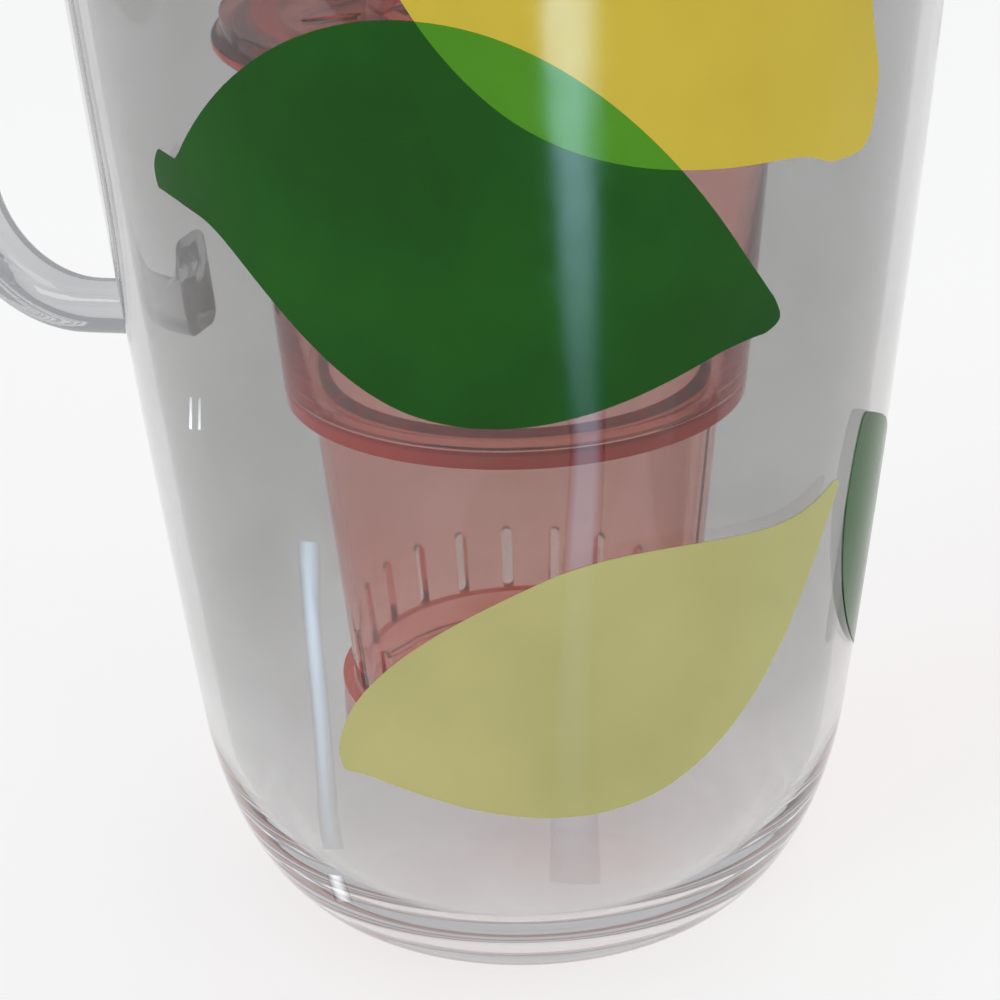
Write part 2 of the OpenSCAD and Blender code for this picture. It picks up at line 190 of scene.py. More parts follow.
# Clouds of tint and of gloss in a material: how many per metre, and how many finer levels
Cloud = namedtuple("Cloud", "scale detail", defaults=[2])
PLASTIC_TINT = Cloud(45)
PLASTIC_GLOSS = Cloud(160, 4)
RUBBER_TINT = Cloud(90, 3)
RUBBER_GLOSS = Cloud(300, 3)
INK_TINT = Cloud(35, 3)
INK_GLOSS = Cloud(220, 3)
INK_COVER = Cloud(60)
FLOOR_TINT = Cloud(3)

RUBBER_ROUGH = (0.42, 0.55)
# Share of light that rubber scatters below its surface, and how deep, in metres
RUBBER_GLOW = 0.12
RUBBER_DEPTHS = (0.004, 0.003, 0.003)

INK_ROUGH = (0.10, 0.16)
INK_SHINE = 0.19
# How much the cover of a print varies, up and down
COVER_SWING = 0.02
# How much the colour of a print's inner face is raised: painted light for the bounce light that
# does not reach it from behind
PAINTED_BACKLIGHT = 2.2


def new_material(name):
    """An empty node material, and its tree."""
    mat = bpy.data.materials.new(name)
    mat.use_nodes = True
    tree = mat.node_tree
    tree.nodes.clear()
    return mat, tree


def add(tree, kind, **inputs):
    """A node with its inputs set or linked; a space in an input's name is written as _."""
    node = tree.nodes.new(kind)
    for key, value in inputs.items():
        socket = node.inputs[key.replace("_", " ")]
        if isinstance(value, bpy.types.NodeSocket):
            tree.links.new(value, socket)
        else:
            socket.default_value = value
    return node


def add_math(tree, operation, a, b):
    """The result of a sum of two sockets or numbers."""
    node = tree.nodes.new("ShaderNodeMath")
    node.operation = operation
    for socket, value in zip(node.inputs, (a, b)):
        if isinstance(value, bpy.types.NodeSocket):
            tree.links.new(value, socket)
        else:
            socket.default_value = value
    return node.outputs[0]


def rgb(colour):
    """A colour with full alpha, as a socket takes it."""
    return (*colour, 1.0)


def noise(tree, cloud):
    """Noise in the object's own place, so that it keeps to the piece."""
    place = tree.nodes.new("ShaderNodeTexCoord")
    return add(tree, "ShaderNodeTexNoise", Vector=place.outputs["Object"], Scale=cloud.scale,
               Detail=cloud.detail).outputs["Fac"]


def between(tree, fac, low, high):
    """Maps noise from its usual range to a range of numbers."""
    node = add(tree, "ShaderNodeMapRange", Value=fac, From_Min=NOISE_RANGE[0],
               From_Max=NOISE_RANGE[1], To_Min=low, To_Max=high)
    return node.outputs["Result"]


def two_colours(tree, cloud, colours):
    """A colour that drifts between two, in clouds."""
    ramp = tree.nodes.new("ShaderNodeValToRGB")
    for element, position, colour in zip(ramp.color_ramp.elements, RAMP_RANGE, colours):
        element.position = position
        element.color = rgb(colour)
    tree.links.new(noise(tree, cloud), ramp.inputs["Fac"])
    return ramp.outputs["Color"]


def waves(tree, bump):
    """The normal of a surface with the fine unevenness that moulding leaves."""
    return add(tree, "ShaderNodeBump", Height=noise(tree, Cloud(bump.scale)),
               Strength=bump.strength, Distance=bump.height).outputs["Normal"]


def by_height(tree, low, high, below, above):
    """A colour that goes from below to above between two heights in metres."""
    place = tree.nodes.new("ShaderNodeTexCoord")
    axes = add(tree, "ShaderNodeSeparateXYZ", Vector=place.outputs["Object"])
    share = add(tree, "ShaderNodeMapRange", Value=axes.outputs["Z"], From_Min=low, From_Max=high)
    mix = tree.nodes.new("ShaderNodeMix")
    mix.data_type = "RGBA"
    tree.links.new(share.outputs["Result"], mix.inputs["Factor"])
    tree.links.new(below, mix.inputs[6])
    tree.links.new(above, mix.inputs[7])
    return mix.outputs[2]


def mixed(tree, share, first, second):
    """A mix of two shaders by a share, which is 1 for all of the second."""
    mix = tree.nodes.new("ShaderNodeMixShader")
    tree.links.new(share, mix.inputs[0])
    tree.links.new(first.outputs[0], mix.inputs[1])
    tree.links.new(second.outputs[0], mix.inputs[2])
    return mix


def light_path(tree, kind):
    """1 where the ray is of a kind, or else 0."""
    return tree.nodes.new("ShaderNodeLightPath").outputs[kind]


def lets_lamps_through(tree, body, tint):
    """A shader that looks like the body, and that lamp light passes with a tint."""
    lamp = add(tree, "ShaderNodeBsdfTransparent", Color=rgb(tint))
    return mixed(tree, light_path(tree, "Is Shadow Ray"), body, lamp)


def set_surface(tree, shader):
    """Gives the material its surface, and returns its output node."""
    out = tree.nodes.new("ShaderNodeOutputMaterial")
    tree.links.new(shader.outputs[0], out.inputs["Surface"])
    return out


def see_through(name, tints, rough, lamp_tint, bump, density=0.0, keeps=(1, 1, 1), foot=None,
                clearness=1.0):
    """Clear plastic. Lamp light passes it tinted, and density and keeps set what its depth takes.

    foot is ((low, high), two tints), where the tint is painted paler near the base as painted
    light. clearness is the share of the light that goes through the surface instead of scattering
    on it.
    """
    mat, tree = new_material(name)
    tint = two_colours(tree, PLASTIC_TINT, tints)
    if foot:
        (low, high), foot_painted_light_tints = foot
        tint = by_height(tree, low, high, two_colours(tree, PLASTIC_TINT, foot_painted_light_tints), tint)
    body = add(tree, "ShaderNodeBsdfPrincipled",
               Base_Color=tint,
               Roughness=between(tree, noise(tree, PLASTIC_GLOSS), *rough),
               IOR=PLASTIC_IOR, Transmission_Weight=clearness, Normal=waves(tree, bump))
    out = set_surface(tree, lets_lamps_through(tree, body, lamp_tint))
    if density:
        depth = add(tree, "ShaderNodeVolumeAbsorption", Color=rgb(keeps), Density=density)
        tree.links.new(depth.outputs[0], out.inputs["Volume"])
    return mat


def rubber(name, colours):
    """Soft seal rubber: an even pale tone, slightly cloudy, with a fine satin surface."""
    mat, tree = new_material(name)
    body = add(tree, "ShaderNodeBsdfPrincipled",
               Base_Color=two_colours(tree, RUBBER_TINT, colours),
               Roughness=between(tree, noise(tree, RUBBER_GLOSS), *RUBBER_ROUGH),
               Subsurface_Weight=RUBBER_GLOW,
               Subsurface_Radius=RUBBER_DEPTHS,
               Normal=waves(tree, RUBBER_BUMP))
    set_surface(tree, body)
    return mat


def ink(name, colours, cover, passes):
    """Glossy print. cover is the share of a face that is solid ink, and passes tints the rest."""
    mat, tree = new_material(name)
    body = add(tree, "ShaderNodeBsdfPrincipled",
               Base_Color=two_colours(tree, INK_TINT, colours),
               Roughness=between(tree, noise(tree, INK_GLOSS), *INK_ROUGH),
               Specular_IOR_Level=INK_SHINE,
               Normal=waves(tree, INK_BUMP))
    gaps = add(tree, "ShaderNodeBsdfTransparent", Color=rgb(passes))
    share = between(tree, noise(tree, INK_COVER), cover - COVER_SWING, cover + COVER_SWING)
    set_surface(tree, lets_lamps_through(tree, mixed(tree, share, gaps, body), passes))
    return mat


def ink_inside(name, colours, passes):
    """The print's inner face, lit by the light that comes through the ink, with its colour raised
    as painted light.
    """
    mat, tree = new_material(name)
    painted_bright = [tuple(min(1.0, PAINTED_BACKLIGHT*v) for v in colour) for colour in colours]
    glow = add(tree, "ShaderNodeBsdfTranslucent", Color=two_colours(tree, INK_TINT, painted_bright))
    set_surface(tree, lets_lamps_through(tree, glow, passes))
    return mat


def both_inks(name, colours, cover, passes):
    """The looks of a print's outer and inner face."""
    return ink(name, colours, cover, passes), ink_inside(name + "_inside", colours, passes)


# The grey in these tints is painted shade: the darker surroundings seen through clear plastic, put
# into its colour
CLEAR_PAINTED_SHADE_TINTS = ((0.57, 0.567, 0.562), (0.61, 0.609, 0.605))
HANDLE_PAINTED_SHADE_TINTS = ((0.57, 0.57, 0.58), (0.62, 0.625, 0.63))
CLEAR_ROUGH = (0.0, 0.03)
CLEAR_LAMP_TINT = (0.94, 0.94, 0.945)
# The jug's tint is painted paler at its thick foot, as painted light, and changes to the wall's
# tint between these heights in metres
FOOT_PAINTED_LIGHT_TINTS = ((0.84, 0.84, 0.84), (0.88, 0.88, 0.885))
FOOT_FADE = (0.012, 0.048)
clear = see_through("clear_plastic", CLEAR_PAINTED_SHADE_TINTS, CLEAR_ROUGH, CLEAR_LAMP_TINT, CLEAR_BUMP,
                    foot=(FOOT_FADE, FOOT_PAINTED_LIGHT_TINTS))
clear_handle = see_through("clear_plastic_handle", HANDLE_PAINTED_SHADE_TINTS, CLEAR_ROUGH, CLEAR_LAMP_TINT,
                           CLEAR_BUMP)

CORAL_TINTS = ((1.0, 0.90, 0.88), (1.0, 0.93, 0.91))
# Deep red tints: painted shade on upright edges, standing in for light taken along a long path in
# the plastic
PAINTED_EDGE_SHADE_TINTS = ((0.93, 0.030, 0.008), (0.97, 0.045, 0.014))
PAINTED_EDGE_SHADE_CLEARNESS = 0.15
LID_TINTS = ((0.97, 0.95, 0.95), (1.0, 0.98, 0.98))
INFUSER_ROUGH = (0.02, 0.06)
LID_ROUGH = (0.05, 0.12)
CORAL_LAMP_TINT = (0.97, 0.91, 0.90)
LID_LAMP_TINT = (0.97, 0.90, 0.89)
# What is left of each colour as light goes deeper, and how fast it goes, per metre
CORAL_KEEPS = (0.904, 0.152, 0.022)
CORAL_DENSITY = 230.0
THIN_DENSITY = 165.0
coral = see_through("coral_plastic", CORAL_TINTS, INFUSER_ROUGH, CORAL_LAMP_TINT, CORAL_BUMP,
                    THIN_DENSITY, CORAL_KEEPS)
coral_painted_edge_shade = see_through("coral_plastic_painted_edge_shade", PAINTED_EDGE_SHADE_TINTS, INFUSER_ROUGH, CORAL_LAMP_TINT,
                         CORAL_BUMP, CORAL_DENSITY, CORAL_KEEPS, clearness=PAINTED_EDGE_SHADE_CLEARNESS)
coral_lid = see_through("coral_plastic_lid", LID_TINTS, LID_ROUGH, LID_LAMP_TINT, CORAL_BUMP,
                        CORAL_DENSITY, CORAL_KEEPS)
silicone = rubber("pale_silicone", ((0.80, 0.78, 0.75), (0.86, 0.84, 0.81)))

LIME = both_inks("ink_lime", ((0.005, 0.075, 0.002), (0.008, 0.105, 0.003)), cover=0.90,
                 passes=(0.45, 0.92, 0.40))
LEMON = both_inks("ink_lemon", ((0.63, 0.48, 0.045), (0.68, 0.52, 0.055)), cover=0.93,
                  passes=(1.0, 0.95, 0.6))
PALE = both_inks("ink_pale_lemon", ((0.51, 0.49, 0.20), (0.56, 0.54, 0.22)), cover=0.88,
                 passes=(1.0, 0.98, 0.8))
OVER = both_inks("ink_lime_on_lemon", ((0.070, 0.27, 0.008), (0.085, 0.31, 0.010)), cover=0.92,
                 passes=(0.5, 0.95, 0.35))

# The jug, and the radius of its rim's edge

RIM_ROUND_MM = 1.35
CORNER_STEPS = 22
WALL_STEPS = 40
ROUND_STEPS = 6
JUG_STEPS = 224


def side(inset, floor_z, top_z):
    """The jug's side from the floor up, with its elliptical bottom corner."""
    h = CORNER_H_MM - floor_z
    out = []
    for i in range(CORNER_STEPS + 1):
        a = math.pi/2*i/CORNER_STEPS
        z = floor_z + h*(1 - math.cos(a))
        out.append((wall_r(z) - inset - CORNER_W_MM*(1 - math.sin(a)), z))
    for i in range(1, WALL_STEPS + 1):
        z = CORNER_H_MM + (top_z - CORNER_H_MM)*i/WALL_STEPS
        out.append((wall_r(z) - inset, z))
    return out


def jug_profile():
    """Flat foot, side, rounded rim, inner side and floor."""
    r = RIM_ROUND_MM
    low = JUG_H_MM - r
    outer, inner = side(0, 0, low), side(WALL_MM, FLOOR_MM, low)
    rim = []
    for i in range(1, ROUND_STEPS + 1):
        a = math.pi/2*i/ROUND_STEPS
        rim.append((outer[-1][0] - r*(1 - math.cos(a)), low + r*math.sin(a)))
    for i in range(ROUND_STEPS):
        a = math.pi/2*(1 - i/ROUND_STEPS)
        rim.append((inner[-1][0] + r*(1 - math.cos(a)), low + r*math.sin(a)))
    return [(0, 0)] + outer + rim + inner[::-1] + [(0, FLOOR_MM)]


jug = lathe("jug_wall", jug_profile(), JUG_STEPS, clear)
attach(jug, "jug")
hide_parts("jug_body")

# The handle, with its sizes as in the part: a bar swept round its loop, whose roots widen and
# run a little into the wall

HANDLE_LOW_Z_MM = 91.5
HANDLE_TOP_Z_MM = 205.0
HANDLE_REACH_MM = 34.0
BEND_R_MM = 17.5
BAR_T_MM = 7.5
BAR_W_MM = 11.0
BAR_EDGE_R_MM = 2.6
WEB_R_MM = 9.0
SINK_MM = 1.1
BEND_STEPS = 18
EDGE_STEPS = 6
# Distances of an arm's sections from the wall
ARM_STOPS_MM = (-SINK_MM, -0.4, 0.2, 0.7, 1.4, 2.3, 3.4, 4.6, 6.0, 7.5, 9.0, 11.5, 14.0)


def handle_path():
    """Middle, inward direction and root swell of each section, in the handle's own plane."""
    span = math.hypot(HANDLE_TOP_Z_MM - HANDLE_LOW_Z_MM,
                      wall_r(HANDLE_TOP_Z_MM) - wall_r(HANDLE_LOW_Z_MM))
    turn_x, turn_r = BEND_R_MM - HANDLE_REACH_MM, BEND_R_MM + BAR_T_MM/2
    half = []
    for d in ARM_STOPS_MM:
        near = WEB_R_MM - min(max(d, 0), WEB_R_MM)
        swell_mm = WEB_R_MM - math.sqrt(WEB_R_MM**2 - near**2)
        half.append(((-d, 0), (0, 1), swell_mm))
    for i in range(BEND_STEPS + 1):
        a = math.pi/2*i/BEND_STEPS
        middle = (turn_x - turn_r*math.sin(a), turn_r*(1 - math.cos(a)))
        half.append((middle, (math.sin(a), math.cos(a)), 0))
    top = [((x, span - z), (nx, -nz), more) for (x, z), (nx, nz), more in reversed(half)]
    return half + top


def bar_ring(middle, inward, more):
    """Points of one rounded section, as (x, y, z) in the handle's own frame."""
    t, w = BAR_T_MM/2 - BAR_EDGE_R_MM, BAR_W_MM/2 - BAR_EDGE_R_MM
    points = []
    for quarter, (ct, cw) in enumerate(((t + more, w), (-t, w), (-t, -w), (t + more, -w))):
        for k in range(EDGE_STEPS + 1):
            a = math.pi/2*(quarter + k/EDGE_STEPS)
            off = ct + BAR_EDGE_R_MM*math.cos(a)
            y = cw + BAR_EDGE_R_MM*math.sin(a)
            points.append((middle[0] + inward[0]*off, y, middle[1] + inward[1]*off))
    return points


def swept_handle():
    """The handle's bar, tipped so that its two arms stand square on the sloping wall."""
    lean = math.atan2(wall_r(HANDLE_TOP_Z_MM) - wall_r(HANDLE_LOW_Z_MM),
                      HANDLE_TOP_Z_MM - HANDLE_LOW_Z_MM)
    tip_over = Matrix.Rotation(-lean, 3, "Y")
    root = Vector((-wall_r(HANDLE_LOW_Z_MM), 0, HANDLE_LOW_Z_MM))
    rings = [[root + tip_over @ Vector(p) for p in bar_ring(*stop)] for stop in handle_path()]
    count = len(rings[0])
    faces = [tuple(range(count)), tuple((len(rings) - 1)*count + k for k in reversed(range(count)))]
    for i in range(len(rings) - 1):
        for k in range(count):
            n = (k + 1) % count
            faces.append((i*count + k, (i + 1)*count + k, (i + 1)*count + n, i*count + n))
    points = [p for ring in rings for p in ring]
    return add_mesh("handle_bar", points, faces, [clear_handle])


handle = outward(swept_handle())
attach(handle, "jug")
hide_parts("handle")

# The infuser's cup, with its edges rounded

EDGE_MM = 0.45
LEDGE_EDGE_MM = 0.2
NECK_FILLET_MM = 3.0
# Share of the rim's thickness that each of its two outer edges is rounded by
RIM_ROUND_SHARE = 0.48
CUP_STEPS = 192
# The most that the Z of an upright face's normal may be
UPRIGHT = 0.5
cup_in_r = LEDGE_R_MM - INFUSER_T_MM
neck_in_r = CUP_NECK_R_MM - INFUSER_T_MM
neck_z = CUP_TOP_Z_MM - CUP_NECK_H_MM
rim_round = CUP_RIM_T_MM*RIM_ROUND_SHARE
rim_out_r = CUP_NECK_R_MM + CUP_RIM_W_MM
rim_low_z = CUP_TOP_Z_MM - CUP_RIM_T_MM
ledge_top_z = CUP_LEDGE_Z_MM + LEDGE_T_MM
ledge_share = LEDGE_T_MM/(neck_z - CUP_LEDGE_Z_MM)
ledge_top_r = LEDGE_R_MM + (CUP_NECK_R_MM - LEDGE_R_MM)*ledge_share
cup = lathe("infuser_cup_wall", rounded([
    (LEDGE_IN_R_MM, CUP_LEDGE_Z_MM, LEDGE_EDGE_MM), (LEDGE_R_MM, CUP_LEDGE_Z_MM, LEDGE_EDGE_MM),
    (ledge_top_r, ledge_top_z, 0),
    (CUP_NECK_R_MM, neck_z, NECK_FILLET_MM), (CUP_NECK_R_MM, rim_low_z, 2*EDGE_MM),
    (rim_out_r, rim_low_z, rim_round), (rim_out_r, CUP_TOP_Z_MM, rim_round),
    (neck_in_r, CUP_TOP_Z_MM, EDGE_MM), (neck_in_r, neck_z, NECK_FILLET_MM),
    (cup_in_r, ledge_top_z, 2*EDGE_MM), (LEDGE_IN_R_MM, ledge_top_z, LEDGE_EDGE_MM)]),
    CUP_STEPS, coral)
# The upright edges of the ledge and the rim are painted a deeper, less clear red: painted shade for
# the light that runs a long way inside them
cup.data.materials.append(coral_painted_edge_shade)
for face in cup.data.polygons:
    on_ledge = face.center.z < ledge_top_z*MM
    on_rim = math.hypot(face.center.x, face.center.y) > (rim_out_r - rim_round)*MM
    if (on_ledge or on_rim) and abs(face.normal.z) < UPRIGHT:
        face.material_index = 1
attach(cup, "cup")
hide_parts("infuser_cup")

# The citrus prints: outlines from two swells and a stub at each end, laid on the wall

# How far the ink stands off the wall, and its thickness
INK_OFF_MM = 0.03
INK_MM = 0.12
# Spacing of the points inside a print
INK_GRID_MM = 3.0
OUTLINE_STEPS = 80
# A stub with a notch above it: its run and fade, and the share of its half width that is rounded
NOTCH_RUN_MM = 6.0
NOTCH_FADE_MM = 4.0
CUT_SHARE = 0.3
# A stub fades into the fruit over this many times its length
STUB_FADE = 2
# The kind of result that keeps only the triangles inside an outline, and its tolerance
INSIDE_ONLY = 1
MERGE_MM = 1e-4

# One fruit. angle and height place its middle, in degrees round the jug and millimetres up.
# length is in millimetres and tilt in degrees. upper and lower hold an edge's height, the place
# of its peak from -1 at the stem to 1 at the tip, and the powers of its rise and fall. stem and
# tip hold the half width and length of a stub. notch is how far from the stem's end the upper
# edge begins, above a cut stub.
Fruit = namedtuple("Fruit", "ink angle height length tilt upper lower stem tip notch", defaults=[0])

PRINTS = {
    "print_lime_and_lemon": [
        Fruit(LIME, angle=-74.9, height=124.1, length=96.5, tilt=-12.8,
              upper=(34.0, -0.18, 0.89, 1.0), lower=(21.2, 0.0, 2.06, 1.32),
              stem=(3.0, 6.0), tip=(2.2, 4.3), notch=3.6),
        Fruit(LEMON, angle=-52.5, height=171.5, length=107.8, tilt=-42.0,
              upper=(31.7, -0.2, 0.7, 0.83), lower=(30.8, 0.0, 0.92, 1.3),
              stem=(3.0, 6.0), tip=(5.2, 5.7))],
    "print_pale_lemon": [
        Fruit(PALE, angle=-56.4, height=62.6, length=91.1, tilt=25.5,
              upper=(17.6, -0.02, 0.6, 2.1), lower=(25.2, 0.03, 1.28, 1.1),
              stem=(0.9, 1.9), tip=(1.2, 6.2))],
    "print_lime_low": [
        Fruit(LIME, angle=5.7, height=64.6, length=60.0, tilt=-61.0,
              upper=(13.5, 0.0, 0.95, 1.05), lower=(13.5, 0.0, 0.86, 1.05),
              stem=(0.8, 2.0), tip=(1.6, 3.5))],
    "print_pale_lemon_high": [
        Fruit(PALE, angle=23.0, height=178.0, length=80.0, tilt=16.0,
              upper=(19.0, -0.1, 0.75, 1.5), lower=(23.0, 0.05, 1.1, 1.0),
              stem=(1.0, 2.5), tip=(1.4, 6.0))],
    "print_lime_and_lemon_back": [
        Fruit(LEMON, angle=84.0, height=176.0, length=98.0, tilt=34.0,
              upper=(28.0, 0.15, 0.8, 0.75), lower=(28.0, 0.0, 1.1, 0.9),
              stem=(3.0, 6.0), tip=(5.0, 6.0)),
        Fruit(LIME, angle=118.0, height=150.0, length=84.0, tilt=-14.0,
              upper=(27.0, -0.1, 1.1, 1.0), lower=(19.0, 0.0, 1.5, 1.2),
              stem=(2.0, 5.0), tip=(2.0, 4.0))],
    "print_lime_high": [
        Fruit(LIME, angle=-137.0, height=192.0, length=60.0, tilt=28.0,
              upper=(18.0, -0.1, 1.0, 0.95), lower=(15.0, 0.0, 1.2, 1.1),
              stem=(1.7, 4.0), tip=(1.7, 3.5))],
}


def swell(u, height, peak, stem_power, tip_power):
    """Height of one edge at place u, from -1 at the stem to 1 at the tip."""
    v = (u - peak)/(1 - peak*u)
    return height*max(1 - v*v, 0)**(stem_power if v < 0 else tip_power)


def stub(along, half, reach, fade, end_share):
    """Half width of the short stub at one end of a fruit, at a distance from that end."""
    if along >= reach + fade:
        return 0
    ease = 1 if along < reach else math.cos(math.pi/2*(along - reach)/fade)**2
    return half*ease*math.sqrt(min(1, max(along, 0)/(end_share*half)))


def outline(shape):
    """The closed outline of a fruit, as points on the wall unrolled at the base's radius."""
    length, notch = shape.length, shape.notch
    end_share = CUT_SHARE if notch else 1
    (tip_half, tip_reach), (stem_half, stem_reach) = shape.tip, shape.stem
    top, bottom = [], []
    for i in range(OUTLINE_STEPS + 1):
        u = -math.cos(math.pi*i/OUTLINE_STEPS)
        from_stem, from_tip = (1 + u)*length/2, (1 - u)*length/2
        at_tip = stub(from_tip, tip_half, tip_reach, STUB_FADE*tip_reach, 1)
        at_stem = stub(from_stem, stem_half, stem_reach, STUB_FADE*stem_reach, end_share)
        ends = at_tip + at_stem
        bottom.append((length/2*u, -math.hypot(swell(u, *shape.lower), ends)))
        body = swell(-1 + 2*max(from_stem - notch, 0)/(length - notch), *shape.upper)
        if notch:
            cut_reach = stem_reach + NOTCH_RUN_MM
            cut = stub(from_stem, stem_half, cut_reach, NOTCH_FADE_MM, end_share)
            top.append((length/2*u, max(math.hypot(body, at_tip), cut)))
        else:
            top.append((length/2*u, math.hypot(body, ends)))
    c, s = math.cos(math.radians(shape.tilt)), math.sin(math.radians(shape.tilt))
    turned = [(c*x - s*y, s*x + c*y) for x, y in bottom + top[-2:0:-1]]
    angle, middle_r = math.radians(shape.angle), wall_r(shape.height)
    return [((angle + x/middle_r)*BASE_R_MM, shape.height + y) for x, y in turned]


def on_wall(point, off):
    """A point of the unrolled wall, set on the jug and stood off it."""
    angle, z = point[0]/BASE_R_MM, point[1]
    r = wall_r(z) + off
    return (r*math.cos(angle), r*math.sin(angle), z)


def print_piece(name, fruits):
    """A thin closed layer of ink. Where two fruits cross, it takes the ink of both, OVER."""
    points, rings = [], []
    for shape in fruits:
        ring = outline(shape)
        rings.append(list(range(len(points), len(points) + len(ring))))
        points += ring
    xs, zs = [p[0] for p in points], [p[1] for p in points]
    for i in range(int((max(xs) - min(xs))/INK_GRID_MM)):
        for j in range(int((max(zs) - min(zs))/INK_GRID_MM)):
            points.append((min(xs) + (i + 0.5)*INK_GRID_MM, min(zs) + (j + 0.5)*INK_GRID_MM))
    flat, _, tris, _, _, owned = delaunay_2d_cdt([Vector(p) for p in points], [], rings,
                                                 INSIDE_ONLY, MERGE_MM)
    tris_kept = [(t, o) for t, o in zip(tris, owned) if o]
    inks = [shape.ink for shape in fruits] + ([OVER] if len(fruits) > 1 else [])
    layers = [pair[0] for pair in inks] + [pair[1] for pair in inks]
    owners = [o[0] if len(o) == 1 else len(fruits) for _, o in tris_kept]
    count = len(flat)
    solid = [on_wall(p, INK_OFF_MM + INK_MM) for p in flat] + [on_wall(p, INK_OFF_MM) for p in flat]
    faces = [tuple(t) for t, _ in tris_kept]
    faces += [tuple(v + count for v in t[::-1]) for t, _ in tris_kept]
    looks = owners + [look + len(inks) for look in owners]
    used = {}
    for (t, _), look in zip(tris_kept, owners):
        for a, b in zip(t, list(t[1:]) + [t[0]]):
            used[(a, b)] = look
    for (a, b), look in used.items():
        if (b, a) not in used:
            faces.append((b, a, a + count, b + count))
            looks.append(look)
    obj = add_mesh(name, solid, faces, layers, looks)
    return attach(obj, "jug")


for print_name, fruits in PRINTS.items():
    tidy_mesh(print_piece(print_name, fruits))

# Materials of the CAD pieces that stay

LOOKS = {
    "lid": coral_lid, "pour_flap": coral_lid, "filler_cap": coral_lid, "flap_pin": coral_lid,
    "infuser_stem": coral, "infuser_basket": coral, "basket_base": coral,
    "lid_gasket": silicone, "flap_seal": silicone, "cap_seal": silicone, "stem_seal": silicone,
}
for node_name, look in LOOKS.items():
    data = nodes[node_name].data
    data.materials.clear()
    data.materials.append(look)

# Floor, light and camera

def seen_by_eye(tree):
    """1 where a ray shows something to the camera, straight or through a gloss, or else 0."""
    seen = light_path(tree, "Is Camera Ray")
    for kind in ("Is Glossy Ray", "Is Transmission Ray"):
        seen = add_math(tree, "MAXIMUM", seen, light_path(tree, kind))
    return seen


FLOOR_R = 6.0
# The floor lies a hair below the base, so that the two don't share a plane
FLOOR_DROP = 0.0004
FLOOR_COLOURS = ((0.88, 0.88, 0.88), (0.90, 0.90, 0.90))
# Share of plain white in the floor as it is seen; the rest is lit, and keeps the shadow
FLOOR_GLOW = 0.62
ROOM_TINT = (0.95, 0.97, 1.0)
ROOM_LIGHT = 0.55
BACKDROP_LIGHT = 0.92
WHITE = (1.0, 1.0, 1.0)
LAMP_AIM = Vector((0, 0, 0.1))


def pale_floor():
    """A plain floor that looks near white and still takes the shadow."""
    r = FLOOR_R
    mesh = bpy.data.meshes.new("floor")
    mesh.from_pydata([(-r, -r, 0), (r, -r, 0), (r, r, 0), (-r, r, 0)], [], [(0, 1, 2, 3)])
    floor = bpy.data.objects.new("floor", mesh)
    floor.location.z = -FLOOR_DROP
    bpy.context.scene.collection.objects.link(floor)
    mat, tree = new_material("floor_pale")
    paint = add(tree, "ShaderNodeBsdfDiffuse", Color=two_colours(tree, FLOOR_TINT, FLOOR_COLOURS))
    white = add(tree, "ShaderNodeEmission", Color=rgb(WHITE), Strength=1.0)
    share = add_math(tree, "MULTIPLY", seen_by_eye(tree), FLOOR_GLOW)
    set_surface(tree, mixed(tree, share, paint, white))
    mesh.materials.append(mat)


def studio():
    """Even light from all round, with a whiter backdrop where the camera sees it."""
    world = bpy.data.worlds.new("studio")
    bpy.context.scene.world = world
    world.use_nodes = True
    sky = world.node_tree
    sky.nodes.clear()
    room = add(sky, "ShaderNodeBackground", Color=rgb(ROOM_TINT), Strength=ROOM_LIGHT)
    backdrop = add(sky, "ShaderNodeBackground", Color=rgb(WHITE), Strength=BACKDROP_LIGHT)
    out = sky.nodes.new("ShaderNodeOutputWorld")
    mix = mixed(sky, light_path(sky, "Is Camera Ray"), room, backdrop)
    sky.links.new(mix.outputs[0], out.inputs["Surface"])


def soft_box(name, place, size, power):
    """A square lamp aimed at the pitcher, which neither the camera nor clear plastic sees."""
    light = bpy.data.lights.new(name, "AREA")
    light.shape = "SQUARE"
    light.size = size
    light.energy = power
    obj = bpy.data.objects.new(name, light)
    obj.location = place
    obj.rotation_euler = (LAMP_AIM - Vector(place)).to_track_quat("-Z", "Y").to_euler()
    obj.visible_camera = False
    obj.visible_transmission = False
    bpy.context.scene.collection.objects.link(obj)


pale_floor()
studio()
soft_box("key", place=(-0.9, -1.3, 1.7), size=1.2, power=16)
soft_box("fill", place=(1.6, -0.6, 1.3), size=1.4, power=8)
soft_box("top", place=(0.1, 0.9, 2.0), size=1.6, power=10)

# Low pale cards that show only as long soft reflections in the gloss. Each has stations along
# its length, with the two edges of the card in millimetres on the floor, its colour, the share
# of its width that fades out at each edge, and the brightness at each station
Card = namedtuple("Card", "stations colour soft levels")
COOL = (0.52, 0.76, 1.0)
PALE_LIGHT = (0.9, 0.95, 1.0)
# Height of the cards above the floor, in metres
CARD_Z = 0.001
CARDS = [
    Card([((235, -440), (355, -360)), ((170, -275), (230, -240)), ((120, -170), (150, -155)),
          ((60, -110), (80, -95)), ((30, -60), (40, -50))], COOL, 0.3, (30.0, 18.0, 4.0, 3.0, 0.0)),
    Card([((-108, -130), (-90, -143)), ((-90, -110), (-79, -119)), ((-35, -56), (-30, -63))],
         COOL, 0.4, (6.0, 7.5, 0.5)),
    Card([((-224, -45), (-222, -54)), ((-210, -33), (-208, -42))], PALE_LIGHT, 0.4, (4.0, 9.0)),
    Card([((-219, -62), (-217, -71)), ((-206, -50), (-204, -59))], PALE_LIGHT, 0.4, (3.0, 7.0)),
    Card([((-29, -49), (-25, -53)), ((-23, -43), (-19, -47))], PALE_LIGHT, 0.4, (6.0, 3.0)),
]


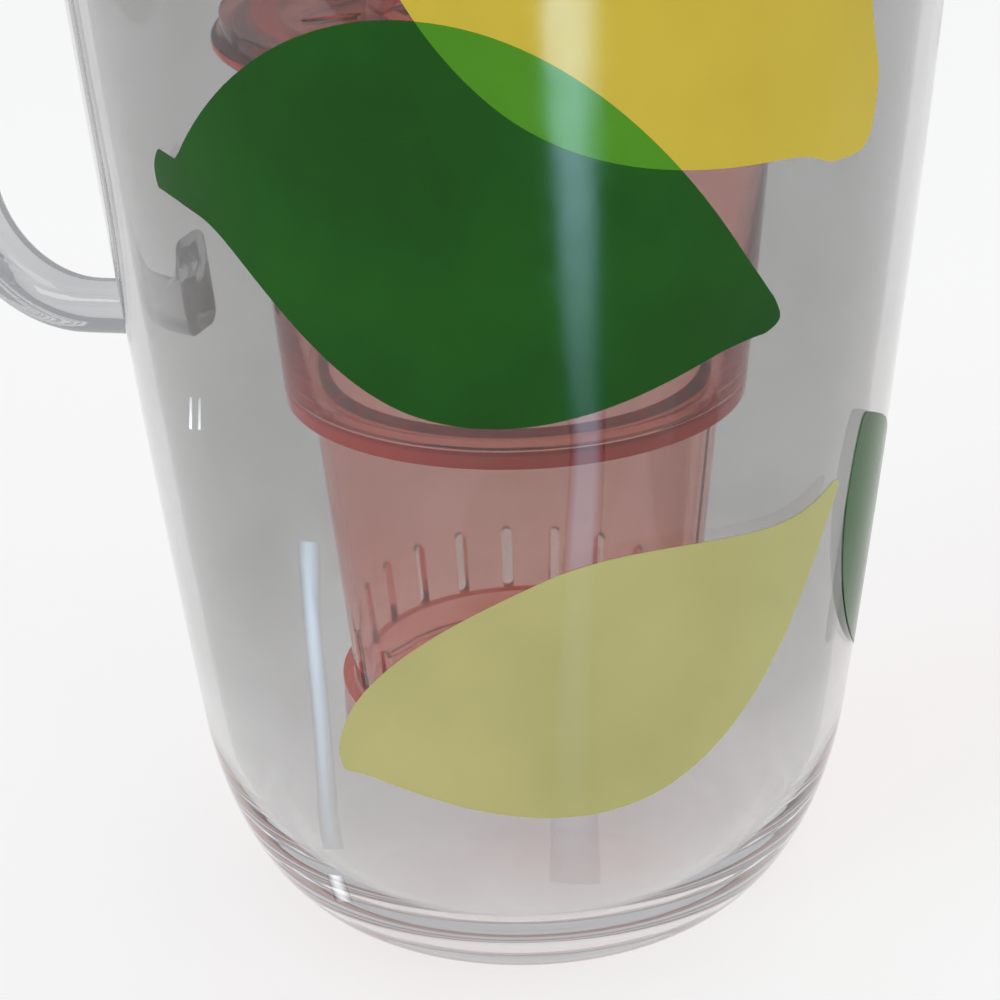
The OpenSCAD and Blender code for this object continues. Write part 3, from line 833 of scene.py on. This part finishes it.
def card_light(name, colour, soft, near, far):
    """Shines only into reflections, fades out towards both edges, and changes along its length."""
    mat, tree = new_material(name)
    place = tree.nodes.new("ShaderNodeTexCoord")
    axes = add(tree, "ShaderNodeSeparateXYZ", Vector=place.outputs["UV"])
    across = axes.outputs["X"]
    from_edge = add_math(tree, "MINIMUM", across, add_math(tree, "SUBTRACT", 1.0, across))
    fade = add(tree, "ShaderNodeMapRange", Value=from_edge, From_Max=soft)
    level = add(tree, "ShaderNodeMapRange", Value=axes.outputs["Y"], To_Min=near, To_Max=far)
    strength = add_math(tree, "MULTIPLY", fade.outputs[0], level.outputs[0])
    light = add(tree, "ShaderNodeEmission", Color=rgb(colour), Strength=strength)
    unseen = tree.nodes.new("ShaderNodeBsdfTransparent")
    set_surface(tree, mixed(tree, light_path(tree, "Is Reflection Ray"), unseen, light))
    mat.cycles.emission_sampling = "NONE"
    return mat


def glow_card(name, card):
    """A card on the floor, with one face between each two stations."""
    steps = list(zip(card.levels, card.levels[1:]))
    points = [(x*MM, y*MM, CARD_Z) for station in card.stations for x, y in station]
    mesh = bpy.data.meshes.new(name)
    mesh.from_pydata(points, [], [(2*i, 2*i + 1, 2*i + 3, 2*i + 2) for i in range(len(steps))])
    across = mesh.uv_layers.new(name="across")
    for i, (near, far) in enumerate(steps):
        for corner, place in enumerate(((0, 0), (1, 0), (1, 1), (0, 1))):
            across.data[4*i + corner].uv = place
        mesh.materials.append(card_light(f"{name}_{i}", card.colour, card.soft, near, far))
        mesh.polygons[i].material_index = i
    obj = bpy.data.objects.new(name, mesh)
    bpy.context.scene.collection.objects.link(obj)
    obj.visible_camera = False
    obj.visible_diffuse = False
    obj.visible_shadow = False


for number, card in enumerate(CARDS):
    glow_card(f"card_{number}", card)

# The photograph's camera: where it stands, and where the right and the top of the picture point
EYE = Vector((0.144673, -0.358078, 0.2364))
RIGHT = Vector((0.92839, 0.37059, -0.02741))
UP = Vector((-0.12728, 0.38644, 0.91349))
LENS = 93.6
SENSOR = 36.0
NEAR_CLIP = 0.01

camera_data = bpy.data.cameras.new("camera")
camera_data.lens = LENS
camera_data.sensor_width = SENSOR
camera_data.clip_start = NEAR_CLIP
camera = bpy.data.objects.new("camera", camera_data)
back = RIGHT.cross(UP).normalized()
turn = Matrix((RIGHT, UP, back)).transposed().to_4x4()
camera.matrix_world = Matrix.Translation(EYE) @ turn
bpy.context.scene.collection.objects.link(camera)
bpy.context.scene.camera = camera

# Light crosses many walls here, so it may turn and pass often
CLEAR_BOUNCES = 64
TRANSPARENT_BOUNCES = 40
DIFFUSE_BOUNCES = 3
scene = bpy.context.scene
scene.view_settings.view_transform = "Standard"
scene.cycles.max_bounces = CLEAR_BOUNCES
scene.cycles.transmission_bounces = CLEAR_BOUNCES
scene.cycles.glossy_bounces = CLEAR_BOUNCES
scene.cycles.transparent_max_bounces = TRANSPARENT_BOUNCES
scene.cycles.diffuse_bounces = DIFFUSE_BOUNCES
